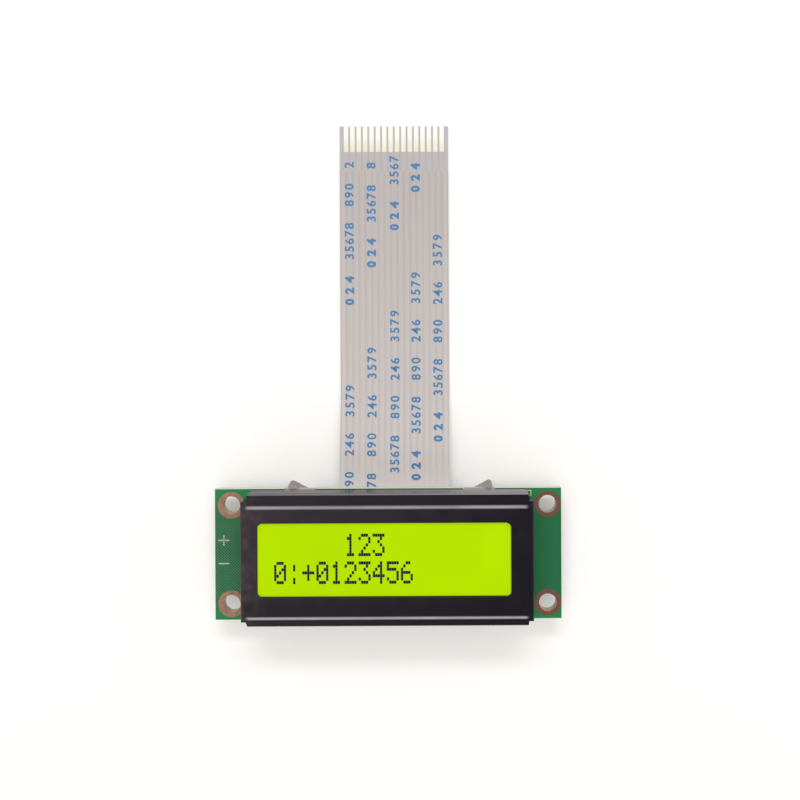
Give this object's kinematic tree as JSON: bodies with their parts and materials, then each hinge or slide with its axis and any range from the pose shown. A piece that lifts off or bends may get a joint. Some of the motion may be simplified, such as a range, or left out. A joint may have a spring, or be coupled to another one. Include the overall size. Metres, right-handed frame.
{
  "type": "character lcd module",
  "caption": "Small edge-lit character display with a black folded steel bezel on a green circuit board, four plated mounting holes and a soldered flat cable.",
  "frame": {"origin": "centre of the four mounting holes, on the board's front face", "axes": "+X along the lines of characters, +Y towards the flat cable's free end, +Z out of the display"},
  "size_m": [0.053, 0.0771, 0.0091],
  "materials": {
    "solder_mask": "green solder mask over woven glass board, satin gloss",
    "bare_copper": "tarnished bare copper",
    "gold_pads": "thin gold over copper",
    "black_steel": "black finish on steel sheet, bare grey steel on the tabs",
    "front_film": "yellow-green lit polarizer with dark dots",
    "cell_glass": "clear soda-lime glass",
    "seal_epoxy": "cured epoxy",
    "clear_glue": "cured clear glue",
    "rear_film": "yellow-green polarizer film",
    "strip_rubber": "layered silicone rubber, pink sides with a dark core",
    "diffuser_film": "frosted film",
    "clear_acrylic": "clear acrylic",
    "reflector_film": "white film",
    "white_moulding": "white moulded plastic",
    "led_resin": "clear resin",
    "tinned_pins": "tinned steel",
    "solder": "tin solder",
    "silicon": "polished silicon",
    "cap_epoxy": "black epoxy, slightly glossy",
    "resistor_glaze": "black glaze on white ceramic",
    "capacitor_ceramic": "tan ceramic",
    "cable_film": "white polyester film with blue figures",
    "tinned_copper": "tinned flat copper",
    "stiffener_film": "blue polyester plate"
  },
  "bodies": {
    "root": {"circuit_board": "solder_mask", "mounting_hole_plating": "bare_copper", "pin_hole_plating": "gold_pads", "strip_contacts": "gold_pads", "cable_pads": "gold_pads", "chip_pads": "gold_pads", "bezel": "black_steel", "front_polarizer": "front_film", "front_glass": "cell_glass", "cell_seal": "seal_epoxy", "fill_port_plug": "clear_glue", "rear_glass": "cell_glass", "rear_polarizer": "rear_film", "upper_contact_strip": "strip_rubber", "lower_contact_strip": "strip_rubber", "diffuser_sheet": "diffuser_film", "light_guide": "clear_acrylic", "reflector_sheet": "reflector_film", "backlight_frame": "white_moulding", "led_board": "solder_mask", "led_chips": "led_resin", "backlight_pins": "tinned_pins", "pin_solder": "solder", "controller_die": "silicon", "controller_cap": "cap_epoxy", "driver_die": "silicon", "driver_cap": "cap_epoxy", "chip_resistors": "resistor_glaze", "chip_capacitors": "capacitor_ceramic", "chip_end_caps": "tinned_pins", "chip_solder": "solder", "cable_upper_film": "cable_film", "cable_lower_film": "cable_film", "cable_conductors": "tinned_copper", "cable_stiffener": "stiffener_film", "cable_solder": "solder"}
  },
  "joints": []
}
